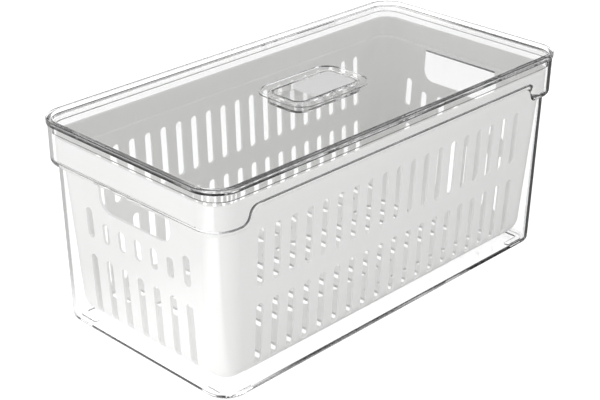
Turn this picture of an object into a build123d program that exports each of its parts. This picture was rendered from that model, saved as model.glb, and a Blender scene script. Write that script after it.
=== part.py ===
from build123d import *
from math import radians, tan
import os

# A clear refrigerator bin with a lift-out drain basket, a lift-off lid and a rocking air vent.
# Millimetres. X runs along the length, Y across the width and Z up. The origin is the middle of
# the footprint, on the surface that the bin stands on.

# The lid's plan and the bin's height, which the rest follows
lid_length = 320.0
lid_width = 158.4
bin_height = 135.45

# Air between two faces of which one rests on the other
seat_gap = 0.15

# Outer bin
foot_height = 1.0
base_corner = 15.6
base_edge = 3.0
bin_floor = 2.2
bin_wall = 2.0
bin_inside_edge = 2.0
bin_rim_round = 0.5
bin_end_draft = 1.6
bin_side_draft = 0.45

# The wider band round the mouth of the bin. Its lower edge steps up along each long side.
band_end_height = 27.15
band_side_height = 16.65
band_end_step = 4.8
band_side_step = 2.25
band_corner = 17.0
band_draft = 0.7
shoulder_edge = 4.2
ledge_thickness = 3.0
ledge_inside_edge = 1.8
jog_from_end = 30.1
jog_slant = 3.0
jog_radius = 6.5

# Corner feet: an L at each corner of the floor
foot_inset_end = 7.5
foot_inset_side = 6.0
foot_width = 3.8
foot_arm = 18.5
foot_corner = 6.0
foot_end_round = 1.3

# Drain basket
basket_lift = 3.0
basket_wall = 1.7
basket_floor = 1.8
basket_gap = 1.4
basket_end_draft = 3.6
basket_side_draft = 2.6
basket_corner = 14.0
basket_edge = 12.5
basket_ledge = 1.5
basket_ledge_edge = 0.6
basket_rim_drop = 8.75
basket_band_corner = 12.0
basket_band_end_gap = 2.4
basket_band_side_gap = 0.4
basket_band_wall = 1.7
basket_rim_round = 0.7

# Slots in the basket
slot_width = 5.9
slot_start = 4.7
slot_end = 7.9
slot_row_gap = 11.8
lower_slot_share = 0.527
side_slot_columns = 19
side_slot_margin = 31.85
end_slot_columns = 7
end_slot_margin = 29.3
end_slot_gap = 8.5
end_outer_slot_gap = 2.0
floor_slot_margin = 5.6
floor_slot_bridge = 12.4
floor_bridge_share = 0.65

# Finger cut-out in each short wall of the basket
grip_width = 63.0
grip_height = 23.0
grip_corner = 9.0

# Lid
lid_end_overhang = 1.35
lid_side_overhang = 0.45
lid_corner = 18.4
lid_edge_height = 3.0
lid_edge_width = 3.2
lid_edge_round = 0.8
lid_panel_drop = 2.6
lid_panel = 2.4
lid_skirt_depth = 5.4
lid_skirt_wall = 1.8
lid_gap = 0.5

# Air vent in the lid
dish_length = 67.0
dish_width = 41.4
dish_corner = 11.0
dish_depth = 0.8
rocker_length = 57.0
rocker_width = 29.0
rocker_corner = 7.5
rocker_gap = 0.7
rocker_top = 1.7
rocker_wall = 1.5
rocker_skirt = 7.0
rocker_drop = 0.6
rocker_edge = 1.1
rocker_travel = 6.0
pocket_wall = 1.4
pocket_floor = 1.2
pocket_clearance = 0.25
pin_diameter = 2.4
pin_reach = 0.9
pin_gap = 0.2
pin_drop = 4.9

# White seal under the rocker
seal_start = -9.5
seal_gap = 0.4
seal_thickness = 1.7
seal_plug_start = 6.0
seal_plug_end = 22.0
seal_plug_width = 15.0
vent_hole_margin = 2.4

# How near two positions have to be to count as the same
same_place = 0.1

# Levels, all above the surface that the bin stands on
base_level = foot_height
floor_level = base_level + bin_floor
bin_top_level = base_level + bin_height
end_shoulder_level = bin_top_level - band_end_height
side_shoulder_level = bin_top_level - band_side_height
end_ledge_level = end_shoulder_level + ledge_thickness
side_ledge_level = side_shoulder_level + ledge_thickness
basket_level = floor_level + basket_lift
basket_floor_level = basket_level + basket_floor
basket_seat_level = end_ledge_level + seat_gap
basket_rim_level = bin_top_level - basket_rim_drop
grip_level = end_ledge_level - grip_height
lid_level = bin_top_level + seat_gap
lid_top_level = lid_level + lid_edge_height
panel_level = lid_top_level - lid_panel_drop
dish_level = panel_level - dish_depth

# The seal's corners follow the inside of the rocker's
seal_corner = rocker_corner - rocker_wall - seal_gap


def box_outline(length, width, corner, level):
    """A rounded rectangle that lies flat at a height."""
    return Pos(0, 0, level) * RectangleRounded(length, width, corner)


def slab(length, width, corner, level, thickness):
    """A flat rounded plate with its underside at a height."""
    return extrude(box_outline(length, width, corner, level), thickness)


def band_size(level, inset=0):
    """Length and width of the bin's wide band at a height, set in from its outside."""
    spread = 2 * (level - bin_top_level) * tan(radians(band_draft)) - 2 * inset
    length = lid_length - 2 * lid_end_overhang + spread
    return length, lid_width - 2 * lid_side_overhang + spread


def band_outline(level, inset=0):
    """The bin's wide band, cut at a height and set in from its outside."""
    return box_outline(*band_size(level, inset), band_corner - inset, level)


def bin_size(level, inset=0):
    """Length and width of the bin's lower wall at a height, set in from its outside."""
    length, width = band_size(end_shoulder_level, inset)
    rise = level - end_shoulder_level
    length += 2 * (rise * tan(radians(bin_end_draft)) - band_end_step)
    width += 2 * (rise * tan(radians(bin_side_draft)) - band_side_step)
    return length, width


def bin_outline(level, inset=0):
    """The bin's lower wall, cut at a height and set in from its outside."""
    return box_outline(*bin_size(level, inset), base_corner - inset, level)


def band_relief(bottom_level, side_level, half_opening):
    """What lies under the band's lower edge, with its slanted S step on each long side."""
    below = bottom_level - bin_height
    low = half_opening + jog_slant / 2
    high = half_opening - jog_slant / 2
    corners = [
        (-lid_length, below),
        (-lid_length, bottom_level),
        (-low, bottom_level),
        (-high, side_level),
        (high, side_level),
        (low, bottom_level),
        (lid_length, bottom_level),
        (lid_length, below),
    ]
    edge = FilletPolyline(corners, radius=jog_radius, close=True)
    return extrude(Plane.XZ * make_face(edge), lid_width, both=True)


def foot_ring():
    """The band of floor that the corner feet follow."""
    base_length, base_width = bin_size(base_level)
    length = base_length - 2 * foot_inset_end
    width = base_width - 2 * foot_inset_side
    outer = RectangleRounded(length, width, foot_corner)
    inner_corner = max(foot_corner - foot_width, foot_end_round)
    return outer - RectangleRounded(length - 2 * foot_width, width - 2 * foot_width, inner_corner)


def make_feet():
    """Four L-shaped feet, one at each corner of the floor."""
    base_length, base_width = bin_size(base_level)
    feet_x = (base_length - foot_arm) / 2 - foot_inset_end
    feet_y = (base_width - foot_arm) / 2 - foot_inset_side
    corners = [Pos(x, y) * Rectangle(foot_arm, foot_arm)
               for x in (-feet_x, feet_x) for y in (-feet_y, feet_y)]
    outline = foot_ring() & Sketch(children=corners)
    ends = [v for v in outline.vertices()
            if abs(abs(v.X) - feet_x + foot_arm / 2) < same_place
            or abs(abs(v.Y) - feet_y + foot_arm / 2) < same_place]
    return extrude(fillet(ends, foot_end_round), foot_height + bin_floor / 2)


def make_outer_bin():
    """The clear bin: tapered walls, wide band, ledge and feet."""
    jog = band_size(end_shoulder_level)[0] / 2 - jog_from_end
    wall_top = side_ledge_level + bin_wall

    wall = loft([bin_outline(base_level), bin_outline(wall_top)])
    wall = fillet(wall.faces().sort_by(Axis.Z)[0].edges(), base_edge)
    band = loft([band_outline(end_shoulder_level - ledge_thickness), band_outline(bin_top_level)])
    band -= band_relief(end_shoulder_level, side_shoulder_level, jog)
    band = fillet(lower_rim_edges(band, side_shoulder_level, jog), shoulder_edge)

    inside = loft([bin_outline(floor_level, bin_wall), bin_outline(wall_top, bin_wall)])
    inside = fillet(inside.faces().sort_by(Axis.Z)[0].edges(), bin_inside_edge)
    mouth = loft([band_outline(end_shoulder_level, bin_wall),
                  band_outline(bin_top_level + bin_wall, bin_wall)])
    mouth -= band_relief(end_ledge_level, side_ledge_level, jog + bin_wall)
    mouth = fillet(lower_rim_edges(mouth, side_ledge_level, jog + bin_wall), ledge_inside_edge)
    outer_bin = wall + band + make_feet() - inside - mouth
    return fillet(outer_bin.faces().sort_by(Axis.Z)[-1].edges(), bin_rim_round)


def lower_rim_edges(band, side_level, half_opening):
    """The outer edges along a band's lower rim, but not the lines across its underside."""
    across = half_opening + 2 * jog_radius
    return [e for e in band.edges()
            if e.center().Z < side_level + same_place
            and (abs(e.center().Y) > same_place or abs(e.center().X) > across)]


def basket_size(level, inset=0):
    """Length and width of the basket's lower wall at a height: it hangs inside the bin."""
    length, width = bin_size(end_ledge_level, bin_wall + basket_gap + inset)
    rise = level - end_ledge_level
    length += 2 * rise * tan(radians(basket_end_draft))
    width += 2 * rise * tan(radians(basket_side_draft))
    return length, width


def basket_outline(level, inset=0):
    """The basket's lower wall, cut at a height and set in from its outside."""
    return box_outline(*basket_size(level, inset), basket_corner - inset, level)


def basket_band_outline(level, inset=0):
    """The basket's upper band: its ends lie on the bin's ledge and its sides clear the bin."""
    length = band_size(end_ledge_level, bin_wall + basket_band_end_gap + inset)[0]
    width = bin_size(side_ledge_level, bin_wall + basket_band_side_gap + inset)[1]
    return box_outline(length, width, basket_band_corner - inset, level)


def upright_slot(x, bottom, top):
    """The outline of one upright slot, drawn in the wall's plane."""
    return Pos(x, (bottom + top) / 2) * SlotOverall(top - bottom, slot_width, rotation=90)


def slot_rows():
    """Bottom and top of the lower row of slots in the long walls, then of the upper row."""
    bottom = basket_floor_level + slot_start
    top = end_ledge_level - slot_end
    lower_top = bottom + lower_slot_share * (top - slot_row_gap - bottom)
    return (bottom, lower_top), (lower_top + slot_row_gap, top)


def slot_places(wall_length, margin, columns):
    """The middles of a row of slots, spread evenly along a wall between two margins."""
    pitch = (wall_length - 2 * margin) / (columns - 1)
    return [(i - (columns - 1) / 2) * pitch for i in range(columns)]


def side_slot_places():
    """The middles of the slots along the long walls, which the floor's slots share."""
    return slot_places(basket_size(end_ledge_level)[0], side_slot_margin, side_slot_columns)


def side_slots():
    """Both rows of slots, cut through the two long walls at once."""
    outlines = [upright_slot(x, bottom, top)
                for x in side_slot_places() for bottom, top in slot_rows()]
    return extrude(Plane.XZ * Sketch(children=outlines), lid_width, both=True)


def end_slots():
    """The slots in the short walls, those under the finger cut-out being shorter."""
    places = slot_places(basket_size(end_ledge_level)[1], end_slot_margin, end_slot_columns)
    lower, upper = slot_rows()
    outlines = [upright_slot(y, *lower) for y in places]
    for y in places:
        gap = end_outer_slot_gap if y in (places[0], places[-1]) else end_slot_gap
        outlines.append(upright_slot(y, upper[0], grip_level - gap))
    return extrude(Plane.YZ * Sketch(children=outlines), lid_length, both=True)


def floor_slots():
    """Four rows of drain slots through the basket's floor, in line with the wall slots. The two
    inner rows are a slot shorter at each end."""
    reach = basket_size(basket_level)[1] / 2 - floor_slot_margin
    bridge_place = floor_bridge_share * reach
    places = side_slot_places()
    rows = [(places[1:-1], floor_slot_bridge / 2, bridge_place - floor_slot_bridge / 2),
            (places, bridge_place + floor_slot_bridge / 2, reach)]
    outlines = [Pos(x, side * (start + end) / 2) * SlotOverall(end - start, slot_width, rotation=90)
                for columns, start, end in rows for x in columns for side in (-1, 1)]
    return extrude(Sketch(children=outlines), basket_floor_level + basket_edge)


def grip_openings():
    """The finger cut-outs in both short walls, closed above by the basket's band."""
    height = basket_seat_level - grip_level
    outline = Pos(0, grip_level + height / 2) * Rectangle(grip_width, height)
    low_corners = outline.vertices().sort_by(Axis.Y)[:2]
    return extrude(Plane.YZ * fillet(low_corners, grip_corner), lid_length, both=True)


def make_drain_basket():
    """The white basket: slotted tapered walls, slotted floor and the band it hangs by."""
    band_floor_level = basket_seat_level + basket_ledge
    wall = loft([basket_outline(basket_level), basket_outline(basket_seat_level)])
    wall = fillet(wall.faces().sort_by(Axis.Z)[0].edges(), basket_edge)
    inside = loft([basket_outline(basket_floor_level, basket_wall),
                   basket_outline(band_floor_level, basket_wall)])
    inside = fillet(inside.faces().sort_by(Axis.Z)[0].edges(), basket_edge - basket_wall)
    inside += loft([basket_outline(band_floor_level - basket_ledge_edge, basket_wall),
                    basket_outline(band_floor_level, basket_wall - basket_ledge_edge)])

    band = extrude(basket_band_outline(basket_seat_level), basket_rim_level - basket_seat_level)
    band -= extrude(basket_band_outline(band_floor_level, basket_band_wall), basket_rim_level)
    rim = band.faces().sort_by(Axis.Z)[-1]
    basket = wall + fillet(rim.edges(), basket_rim_round) - inside
    return basket - [side_slots(), end_slots(), floor_slots(), grip_openings()]


def make_lid():
    """The clear lid: raised edge, sunk panel, locating skirt and the pocket for the vent."""
    mouth_length, mouth_width = band_size(bin_top_level, bin_wall + lid_gap)
    mouth_corner = band_corner - bin_wall - lid_gap
    skirt_level = lid_level - lid_skirt_depth
    panel_under = panel_level - lid_panel

    flange = slab(lid_length, lid_width, lid_corner, lid_level, lid_edge_height)
    flange = fillet(flange.faces().sort_by(Axis.Z)[-1].edges(), lid_edge_round)
    plug = slab(mouth_length, mouth_width, mouth_corner, skirt_level, lid_skirt_depth)
    well = slab(lid_length - 2 * lid_edge_width, lid_width - 2 * lid_edge_width,
                lid_corner - lid_edge_width, panel_level, lid_edge_height)
    under = slab(mouth_length - 2 * lid_skirt_wall, mouth_width - 2 * lid_skirt_wall,
                 mouth_corner - lid_skirt_wall, skirt_level, panel_under - skirt_level)
    lid = flange + plug - well - under
    return lid + vent_cup() - vent_recess()


def pocket_size(extra):
    """The plan of the vent pocket, grown by an amount."""
    grow = 2 * (rocker_gap + extra)
    return rocker_length + grow, rocker_width + grow, rocker_corner + rocker_gap + extra


def rocker_levels():
    """Heights of the rocker's top, its plate's underside, its pins and its skirt's lower edge."""
    top = panel_level - rocker_drop
    return top, top - rocker_top, top - pin_drop, top - rocker_skirt


def pocket_floor_level():
    """The pocket's floor: just under the rocker's skirt."""
    return rocker_levels()[3] - pocket_clearance


def vent_cup():
    """The walls and floor of the pocket, and the thicker lid under the dish."""
    bottom = pocket_floor_level() - pocket_floor
    cup = slab(*pocket_size(pocket_wall), bottom, dish_level - bottom)
    apron = slab(dish_length + 2 * pocket_wall, dish_width + 2 * pocket_wall,
                 dish_corner + pocket_wall, dish_level - lid_panel, lid_panel)
    return cup + apron


def vent_recess():
    """What is hollow at the vent: the dish, the pocket, the pin holes and the air hole."""
    pins = rocker_levels()[2]
    floor = pocket_floor_level()
    dish = slab(dish_length, dish_width, dish_corner, dish_level, lid_top_level - dish_level)
    pocket = slab(*pocket_size(0), floor, panel_level - floor)
    reach = rocker_width + 2 * (rocker_gap + pin_reach)
    pin_holes = Pos(0, 0, pins) * Rot(90, 0, 0) * Cylinder(pin_diameter / 2 + pin_gap, reach)
    air_hole = extrude(plug_outline(floor, vent_hole_margin), 2 * pocket_floor, both=True)
    return dish + pocket + pin_holes + air_hole


def plug_outline(level, inset=0):
    """The outline of the seal's plug; set in, it is the outline of the air hole."""
    length = seal_plug_end - seal_plug_start - 2 * inset
    width = seal_plug_width - 2 * inset
    middle = (seal_plug_start + seal_plug_end) / 2
    return Pos(middle, 0) * box_outline(length, width, seal_corner - inset, level)


def make_vent_rocker():
    """The clear rocking cap, with its stub pins and its underside cut back to let one end dip."""
    top, plate_under, pins, skirt_level = rocker_levels()
    cap = slab(rocker_length, rocker_width, rocker_corner, skirt_level, top - skirt_level)
    cap = fillet(cap.faces().sort_by(Axis.Z)[-1].edges(), rocker_edge)
    hollow = slab(rocker_length - 2 * rocker_wall, rocker_width - 2 * rocker_wall,
                  rocker_corner - rocker_wall, skirt_level, plate_under - skirt_level)
    dip = Pos(-rocker_length / 2, 0, skirt_level - rocker_skirt / 2)
    dip *= Box(rocker_length, 2 * rocker_width, rocker_skirt)
    dip = dip.rotate(Axis((0, 0, skirt_level), (0, 1, 0)), rocker_travel)
    reach = rocker_width + 2 * (rocker_gap + pin_reach - pin_gap)
    axle = Pos(0, 0, pins) * Rot(90, 0, 0) * Cylinder(pin_diameter / 2, reach)
    gap = Pos(0, 0, pins) * Box(2 * pin_diameter, rocker_width - 2 * rocker_wall, 2 * pin_diameter)
    return cap - hollow - dip + (axle - gap)


def make_vent_seal():
    """The white seal: a pad under the rocker's plate with a plug that covers the air hole."""
    pad_under = rocker_levels()[1] - seat_gap - seal_thickness
    plug_under = pocket_floor_level() + seat_gap
    inner_end = rocker_length / 2 - rocker_wall - seal_gap
    inner_width = rocker_width - 2 * rocker_wall - 2 * seal_gap
    middle = (seal_start + inner_end) / 2
    pad = slab(inner_end - seal_start, inner_width, seal_corner, pad_under, seal_thickness)
    return Pos(middle, 0) * pad + extrude(plug_outline(plug_under), pad_under - plug_under)


pieces = {
    "outer_bin": make_outer_bin(),
    "drain_basket": make_drain_basket(),
    "lid": make_lid(),
    "vent_rocker": make_vent_rocker(),
    "vent_seal": make_vent_seal(),
}

os.makedirs("parts", exist_ok=True)
for name, piece in pieces.items():
    export_step(piece, os.path.join("parts", name + ".step"))
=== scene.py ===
from math import cos, radians, sin

import bpy
from mathutils import Matrix, Vector

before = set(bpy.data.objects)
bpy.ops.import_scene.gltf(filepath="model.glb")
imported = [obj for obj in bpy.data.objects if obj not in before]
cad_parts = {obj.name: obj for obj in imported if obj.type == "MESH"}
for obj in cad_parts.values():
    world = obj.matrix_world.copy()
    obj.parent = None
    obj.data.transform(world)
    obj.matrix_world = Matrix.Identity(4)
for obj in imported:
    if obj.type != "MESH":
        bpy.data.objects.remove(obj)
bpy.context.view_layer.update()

# ---------------------------------------------------------------- camera
CAMERA_AT = Vector((-0.62639, -0.59276, 0.47651))
CAMERA_TURN = -46.022  # degrees from the +Y axis
CAMERA_DIP = 26.023
CAMERA_ROLL = 0.485
CAMERA_LENS = 87.5  # millimetres, on a sensor 36 wide
CAMERA_SENSOR = 36
CAMERA_FAR = 100


def add_camera():
    """The camera of the photograph."""
    turn, dip, roll = radians(CAMERA_TURN), radians(CAMERA_DIP), radians(CAMERA_ROLL)
    forward = Vector((-sin(turn) * cos(dip), cos(turn) * cos(dip), -sin(dip)))
    level_right = Vector((cos(turn), sin(turn), 0))
    level_up = level_right.cross(forward)
    right = level_right * cos(roll) + level_up * sin(roll)
    up = level_up * cos(roll) - level_right * sin(roll)
    data = bpy.data.cameras.new("camera")
    data.lens = CAMERA_LENS
    data.sensor_width = CAMERA_SENSOR
    data.clip_end = CAMERA_FAR
    camera = bpy.data.objects.new("camera", data)
    camera.matrix_world = Matrix((right, up, -forward)).transposed().to_4x4()
    camera.location = CAMERA_AT
    bpy.context.scene.collection.objects.link(camera)
    bpy.context.scene.camera = camera


# ---------------------------------------------------------------- materials
def linear(hex_colour):
    """An sRGB colour such as #F4F4F2 as linear values with an alpha of 1."""
    parts = [int(hex_colour[i:i + 2], 16) / 255 for i in (1, 3, 5)]
    return [p / 12.92 if p <= 0.04045 else ((p + 0.055) / 1.055) ** 2.4 for p in parts] + [1]


def new_material(name):
    """An empty node material and its output node."""
    material = bpy.data.materials.new(name)
    material.use_nodes = True
    material.node_tree.nodes.clear()
    return material, material.node_tree.nodes.new("ShaderNodeOutputMaterial")


def add_node(owner, kind, settings=None, inputs=None, links=None):
    """A node in a material or world: its settings, its plain input values, and its links."""
    tree = owner.node_tree
    node = tree.nodes.new("ShaderNode" + kind)
    for name, value in (settings or {}).items():
        setattr(node, name, value)
    for name, value in (inputs or {}).items():
        node.inputs[name].default_value = value
    for name, source in (links or {}).items():
        tree.links.new(source, node.inputs[name])
    return node


def ease(owner, source, start, end, low=0.0, high=1.0):
    """A value that goes softly from low to high while the source goes from start to end."""
    return add_node(owner, "MapRange", {"interpolation_type": "SMOOTHSTEP"},
                    {1: start, 2: end, 3: low, 4: high}, {0: source}).outputs[0]


CLEAR_TINT = "#FEFEFE"
STYRENE_IOR = 1.57
POLYPROPYLENE_IOR = 1.49
SILICONE_IOR = 1.41


def clear_styrene(name, gloss):
    """Injection-moulded clear styrene: glassy, nearly colourless, with the slow waves of a moulded
    face in its reflections. Lamps shine through it, as they do through a thin clear wall."""
    material, output = new_material(name)
    place = add_node(material, "TexCoord").outputs["Object"]
    waves = add_node(material, "TexNoise", {}, {"Scale": 28, "Detail": 1}, {"Vector": place})
    bump = add_node(material, "Bump", {}, {"Strength": 0.12, "Distance": 0.00025},
                    {"Height": waves.outputs["Fac"]})
    plastic = add_node(material, "BsdfPrincipled", {}, {
        "Base Color": linear(CLEAR_TINT), "Roughness": gloss, "IOR": STYRENE_IOR,
        "Transmission Weight": 1.0}, {"Normal": bump.outputs["Normal"]})
    clear = add_node(material, "BsdfTransparent", {}, {"Color": linear(CLEAR_TINT)})
    path = add_node(material, "LightPath")
    deep = add_node(material, "Math", {"operation": "GREATER_THAN"}, {1: 0.5},
                    {0: path.outputs["Diffuse Depth"]})
    lamp = add_node(material, "Math", {"operation": "MAXIMUM"}, {},
                    {0: path.outputs["Is Shadow Ray"], 1: deep.outputs[0]})
    mix = add_node(material, "MixShader", {}, {}, {
        0: lamp.outputs[0], 1: plastic.outputs[0], 2: clear.outputs[0]})
    material.node_tree.links.new(mix.outputs[0], output.inputs["Surface"])
    return material


def white_polypropylene():
    """Injection-moulded white polypropylene: a satin skin with a fine spark-eroded grain."""
    material, output = new_material("white moulded polypropylene")
    place = add_node(material, "TexCoord").outputs["Object"]
    grain = add_node(material, "TexNoise", {}, {"Scale": 1600, "Detail": 2}, {"Vector": place})
    flow = add_node(material, "TexNoise", {}, {"Scale": 14, "Detail": 2}, {"Vector": place})
    shade = add_node(material, "Mix", {"data_type": "RGBA"},
                     {6: linear("#F3F3F2"), 7: linear("#F7F7F6")}, {0: flow.outputs["Fac"]})
    sheen = add_node(material, "MapRange", {}, {3: 0.36, 4: 0.46}, {0: flow.outputs["Fac"]})
    bump = add_node(material, "Bump", {}, {"Strength": 0.15, "Distance": 0.0001},
                    {"Height": grain.outputs["Fac"]})
    plastic = add_node(material, "BsdfPrincipled", {}, {"IOR": POLYPROPYLENE_IOR}, {
        "Base Color": shade.outputs[2], "Roughness": sheen.outputs[0],
        "Normal": bump.outputs["Normal"]})
    material.node_tree.links.new(plastic.outputs[0], output.inputs["Surface"])
    return material


def white_silicone():
    """Compression-moulded white silicone: matt and slightly chalky, with a soft grain."""
    material, output = new_material("white moulded silicone")
    place = add_node(material, "TexCoord").outputs["Object"]
    grain = add_node(material, "TexNoise", {}, {"Scale": 1200, "Detail": 3}, {"Vector": place})
    shade = add_node(material, "Mix", {"data_type": "RGBA"},
                     {6: linear("#FAFAFA"), 7: linear("#FEFEFE")}, {0: grain.outputs["Fac"]})
    bump = add_node(material, "Bump", {}, {"Strength": 0.2, "Distance": 0.0001},
                    {"Height": grain.outputs["Fac"]})
    rubber = add_node(material, "BsdfPrincipled", {}, {"Roughness": 0.62, "IOR": SILICONE_IOR}, {
        "Base Color": shade.outputs[2], "Normal": bump.outputs["Normal"]})
    material.node_tree.links.new(rubber.outputs[0], output.inputs["Surface"])
    return material


def give(node, material):
    """Puts a material on every slot of a CAD node."""
    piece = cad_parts[node]
    piece.data.materials.clear()
    piece.data.materials.append(material)


# ---------------------------------------------------------------- stage
FLOOR_RADIUS = 30
FLOOR_DROP = 0.0002  # keeps the floor clear of the feet
FLOOR_LIFT = 0.69  # glow added to the near floor where it is seen
PAPER_SHARE = 0.5  # of the paper's own shading that the near floor keeps, and so its shadow
NEAR_FLOOR, FAR_FLOOR = 0.25, 0.8  # the shadow fades out between these
SWEEP_GLOW = 1.42  # of the white sweep, of which the clear walls take up to a third away
PAINTED_DARK_WAY = (0.5, -0.87, 0)  # level, to the right of the bin and towards the camera: the side where the floor is painted dark for mirrored rays, a painted dark reflection
AMBIENT = 0.91


def add_floor():
    """A plain white floor. Seen, it is white and keeps a soft shadow near the bin. Mirrored in the
    clear plastic, it shows a painted dark reflection on each side, where a studio would set up
    dark cards
    for glass, though no card is there: the floor itself is painted dark only for mirrored rays.
    This painted reflection gives the plastic its dark edge lines, and neither the camera nor a
    matt surface sees it."""
    bpy.ops.mesh.primitive_circle_add(vertices=96, radius=FLOOR_RADIUS, fill_type="NGON",
                                      location=(0, 0, -FLOOR_DROP))
    floor = bpy.context.object
    floor.name = "floor"
    material, output = new_material("white paper sweep")
    place = add_node(material, "TexCoord").outputs["Object"]
    reach = add_node(material, "VectorMath", {"operation": "LENGTH"}, {}, {0: place})
    far = ease(material, reach.outputs["Value"], NEAR_FLOOR, FAR_FLOOR)
    paper = add_node(material, "BsdfDiffuse", {}, {"Color": linear("#FAFAFA")})
    white = add_node(material, "Emission", {}, {
        "Color": linear("#FFFFFF"), "Strength": SWEEP_GLOW})
    lift = add_node(material, "Emission", {}, {
        "Color": linear("#FFFFFF"), "Strength": FLOOR_LIFT})
    near = add_node(material, "MixShader", {}, {0: 1 - PAPER_SHARE}, {1: paper.outputs[0]})
    raised = add_node(material, "AddShader", {}, {}, {0: near.outputs[0], 1: lift.outputs[0]})
    path = add_node(material, "LightPath")
    through = add_node(material, "Math", {"operation": "MAXIMUM"}, {}, {
        0: far, 1: path.outputs["Is Transmission Ray"]})
    bright = add_node(material, "MixShader", {}, {}, {
        0: through.outputs[0], 1: raised.outputs[0], 2: white.outputs[0]})
    # painted dark reflection: to either side of the bin the floor turns dark for mirrored rays
    # only
    aside = add_node(material, "VectorMath", {"operation": "DOT_PRODUCT"},
                     {1: PAINTED_DARK_WAY}, {0: place}).outputs["Value"]
    right_painted_dark = ease(material, aside, -0.015, 0.025, 0.0, 0.95)
    left_painted_dark = ease(material, aside, -0.1, -0.2, 0.0, 0.6)
    painted_dark_reflection = add_node(material, "Math", {"operation": "MAXIMUM"}, {}, {
        0: right_painted_dark, 1: left_painted_dark})
    mirrored = add_node(material, "Math", {"operation": "GREATER_THAN"}, {1: 0.5},
                        {0: path.outputs["Glossy Depth"]})
    dark = add_node(material, "Math", {"operation": "MULTIPLY"}, {},
                    {0: painted_dark_reflection.outputs[0], 1: mirrored.outputs[0]})
    # the colour of the painted dark reflection
    black = add_node(material, "Emission", {}, {"Color": linear("#202020"), "Strength": 1.0})
    shown = add_node(material, "MixShader", {}, {}, {
        0: dark.outputs[0], 1: bright.outputs[0], 2: black.outputs[0]})
    seen = add_node(material, "Math", {"operation": "LESS_THAN"}, {1: 0.5},
                    {0: path.outputs["Diffuse Depth"]})
    mix = add_node(material, "MixShader", {}, {}, {
        0: seen.outputs[0], 1: paper.outputs[0], 2: shown.outputs[0]})
    material.node_tree.links.new(mix.outputs[0], output.inputs["Surface"])
    floor.data.materials.append(material)


def add_world():
    """A studio with a lit white sweep. What is seen in or through the plastic is bright near the
    horizon and dark overhead. Matt surfaces get an even light, and the camera sees white."""
    world = bpy.data.worlds.new("studio")
    world.use_nodes = True
    world.node_tree.nodes.clear()
    output = add_node(world, "OutputWorld")
    way = add_node(world, "TexCoord").outputs["Generated"]
    height = add_node(world, "SeparateXYZ", {}, {}, {0: way})
    rise = ease(world, height.outputs["Z"], 0.05, 0.4, SWEEP_GLOW, 0.02)
    path = add_node(world, "LightPath")
    seen = add_node(world, "Math", {"operation": "LESS_THAN"}, {1: 0.5},
                    {0: path.outputs["Diffuse Depth"]})
    white = add_node(world, "Math", {"operation": "MAXIMUM"}, {}, {
        0: rise, 1: path.outputs["Is Camera Ray"]})
    shown = add_node(world, "Background", {}, {}, {"Color": white.outputs[0]})
    light = add_node(world, "Background", {}, {
        "Color": linear("#FFFFFF"), "Strength": AMBIENT})
    mix = add_node(world, "MixShader", {}, {}, {
        0: seen.outputs[0], 1: light.outputs[0], 2: shown.outputs[0]})
    world.node_tree.links.new(mix.outputs[0], output.inputs["Surface"])
    bpy.context.scene.world = world


LAMP_AIM = Vector((0, 0, 0.07))  # the middle of the bin


def add_lamp(name, at, width, height, watts):
    """A soft box that faces the middle of the bin."""
    data = bpy.data.lights.new(name, "AREA")
    data.shape = "RECTANGLE"
    data.size = width
    data.size_y = height
    data.energy = watts
    lamp = bpy.data.objects.new(name, data)
    lamp.location = at
    aim = LAMP_AIM - Vector(at)
    lamp.rotation_euler = aim.to_track_quat("-Z", "Y").to_euler()
    bpy.context.scene.collection.objects.link(lamp)


add_camera()
add_floor()
add_world()
add_lamp("left strip lamp", (-1.8, -0.1, 0.13), 1.6, 0.24, 5.6)
add_lamp("front lamp", (0.1, -1.4, 1.5), 1.2, 1.0, 1.5)
add_lamp("top lamp", (0, 0.1, 1.9), 1.4, 1.4, 2.0)

give("outer_bin", clear_styrene("clear moulded styrene, bin", 0.015))
give("lid", clear_styrene("clear moulded styrene, lid", 0.015))
give("vent_rocker", clear_styrene("clear moulded styrene, rocker", 0.02))
give("drain_basket", white_polypropylene())
give("vent_seal", white_silicone())

# A line of sight crosses many clear faces before it reaches the basket's far wall.
CLEAR_BOUNCES = 48
scene = bpy.context.scene
scene.view_settings.view_transform = "Standard"
scene.cycles.max_bounces = CLEAR_BOUNCES
scene.cycles.transmission_bounces = CLEAR_BOUNCES
scene.cycles.glossy_bounces = CLEAR_BOUNCES
scene.cycles.transparent_max_bounces = 32
